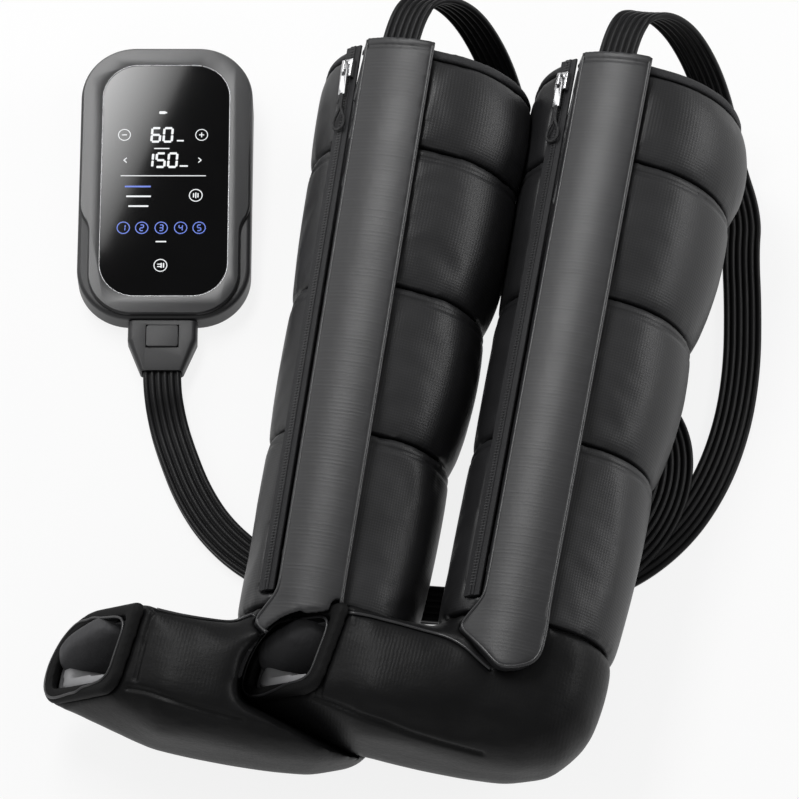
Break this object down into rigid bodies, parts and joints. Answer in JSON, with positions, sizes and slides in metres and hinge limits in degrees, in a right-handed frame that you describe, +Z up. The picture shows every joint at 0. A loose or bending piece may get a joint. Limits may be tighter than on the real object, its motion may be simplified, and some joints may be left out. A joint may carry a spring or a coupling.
{
  "type": "leg massager",
  "caption": "Padded air compression boots that zip round the legs, fed by ribbon hoses from a hand controller with a touch screen.",
  "frame": {"origin": "middle of the footprint of the boots and controller on the floor, hoses left out", "axes": "+Z up from the floor, +Y along the legs toward their open tops, +X to the right seen from above with the feet near"},
  "size_m": [0.6142, 0.6858, 0.1941],
  "materials": {
    "padded_fabric": "matte, finely dotted",
    "panel_fabric": "satin, fine cross ribs",
    "soft_leather": "soft satin",
    "liner_fabric": "matte",
    "insole_fabric": "smooth satin",
    "binding_fabric": "matte woven tape",
    "zipper_tape": "matte woven",
    "bright_metal": "polished",
    "braided_cord": "braided",
    "bezel_plastic": "satin with bright edges",
    "case_plastic": "fine satin",
    "screen_glass": "polished",
    "display": "dark",
    "circuit_board": "satin",
    "motor_steel": "brushed",
    "inner_plastic": "matte",
    "battery_wrap": "shrink wrap",
    "foot_rubber": "matte",
    "plug_plastic": "matte",
    "gasket_rubber": "matte",
    "hose_rubber": "satin"
  },
  "bodies": {
    "boots_and_hoses": {"left_foot_chamber": "soft_leather", "left_ankle_chamber": "padded_fabric", "left_calf_chamber": "padded_fabric", "left_knee_chamber": "padded_fabric", "left_thigh_chamber": "padded_fabric", "left_leg_liner": "liner_fabric", "left_foot_liner": "liner_fabric", "left_insole": "insole_fabric", "left_top_binding": "binding_fabric", "left_toe_binding": "binding_fabric", "left_hose_cover": "panel_fabric", "left_chamber_tubes": "hose_rubber", "left_zipper_tape_front": "zipper_tape", "left_zipper_tape_side": "zipper_tape", "right_foot_chamber": "soft_leather", "right_ankle_chamber": "padded_fabric", "right_calf_chamber": "padded_fabric", "right_knee_chamber": "padded_fabric", "right_thigh_chamber": "padded_fabric", "right_leg_liner": "liner_fabric", "right_foot_liner": "liner_fabric", "right_insole": "insole_fabric", "right_top_binding": "binding_fabric", "right_toe_binding": "binding_fabric", "right_hose_cover": "panel_fabric", "right_chamber_tubes": "hose_rubber", "right_zipper_tape_front": "zipper_tape", "right_zipper_tape_side": "zipper_tape", "plug_body": "plug_plastic", "nozzle_block": "inner_plastic", "plug_gasket": "gasket_rubber", "latch_spring": "motor_steel", "left_hose": "hose_rubber", "right_hose": "hose_rubber"},
    "left_slider": {"left_zipper_slider": "bright_metal"},
    "right_slider": {"right_zipper_slider": "bright_metal"},
    "left_pull": {"left_zipper_pull": "bright_metal", "left_pull_cord": "braided_cord"},
    "right_pull": {"right_zipper_pull": "bright_metal", "right_pull_cord": "braided_cord"},
    "latch": {"plug_latch": "plug_plastic"},
    "controller": {"front_bezel": "bezel_plastic", "rear_cover": "case_plastic", "touch_glass": "screen_glass", "display_module": "display", "main_board": "circuit_board", "pump_motor": "motor_steel", "pump_head": "inner_plastic", "valve_manifold": "inner_plastic", "solenoid_valves": "motor_steel", "battery_pack": "battery_wrap", "air_socket": "inner_plastic", "charge_inlet": "motor_steel", "case_screws": "motor_steel", "rubber_feet": "foot_rubber"}
  },
  "joints": [
    {"name": "left_zip_slide", "type": "slide", "parent": "boots_and_hoses", "child": "left_slider", "axis": [0.0731, -0.9946, -0.0731], "range_m": [0, 0.4]},
    {"name": "left_pull_swing", "type": "hinge", "parent": "left_slider", "child": "left_pull", "pos_m": [-0.05431, 0.25772, 0.16371], "axis": [-0.7485, -0.0063, -0.6631], "range_deg": [0, 120]},
    {"name": "right_zip_slide", "type": "slide", "parent": "boots_and_hoses", "child": "right_slider", "axis": [0.0398, -0.9984, -0.0406], "range_m": [0, 0.4]},
    {"name": "right_pull_swing", "type": "hinge", "parent": "right_slider", "child": "right_pull", "pos_m": [0.12086, 0.28341, 0.16478], "axis": [-0.7596, -0.0038, -0.6504], "range_deg": [0, 120]},
    {"name": "latch_press", "type": "slide", "parent": "boots_and_hoses", "child": "latch", "axis": [0, 0, -1], "range_m": [0, 0.0009], "stiffness_N_per_m": 600, "deforming": ["latch_spring"]},
    {"name": "controller_unplug", "type": "slide", "parent": "boots_and_hoses", "child": "controller", "axis": [-0.2147, 0.9767, 0], "range_m": [0, 0.03]}
  ]
}
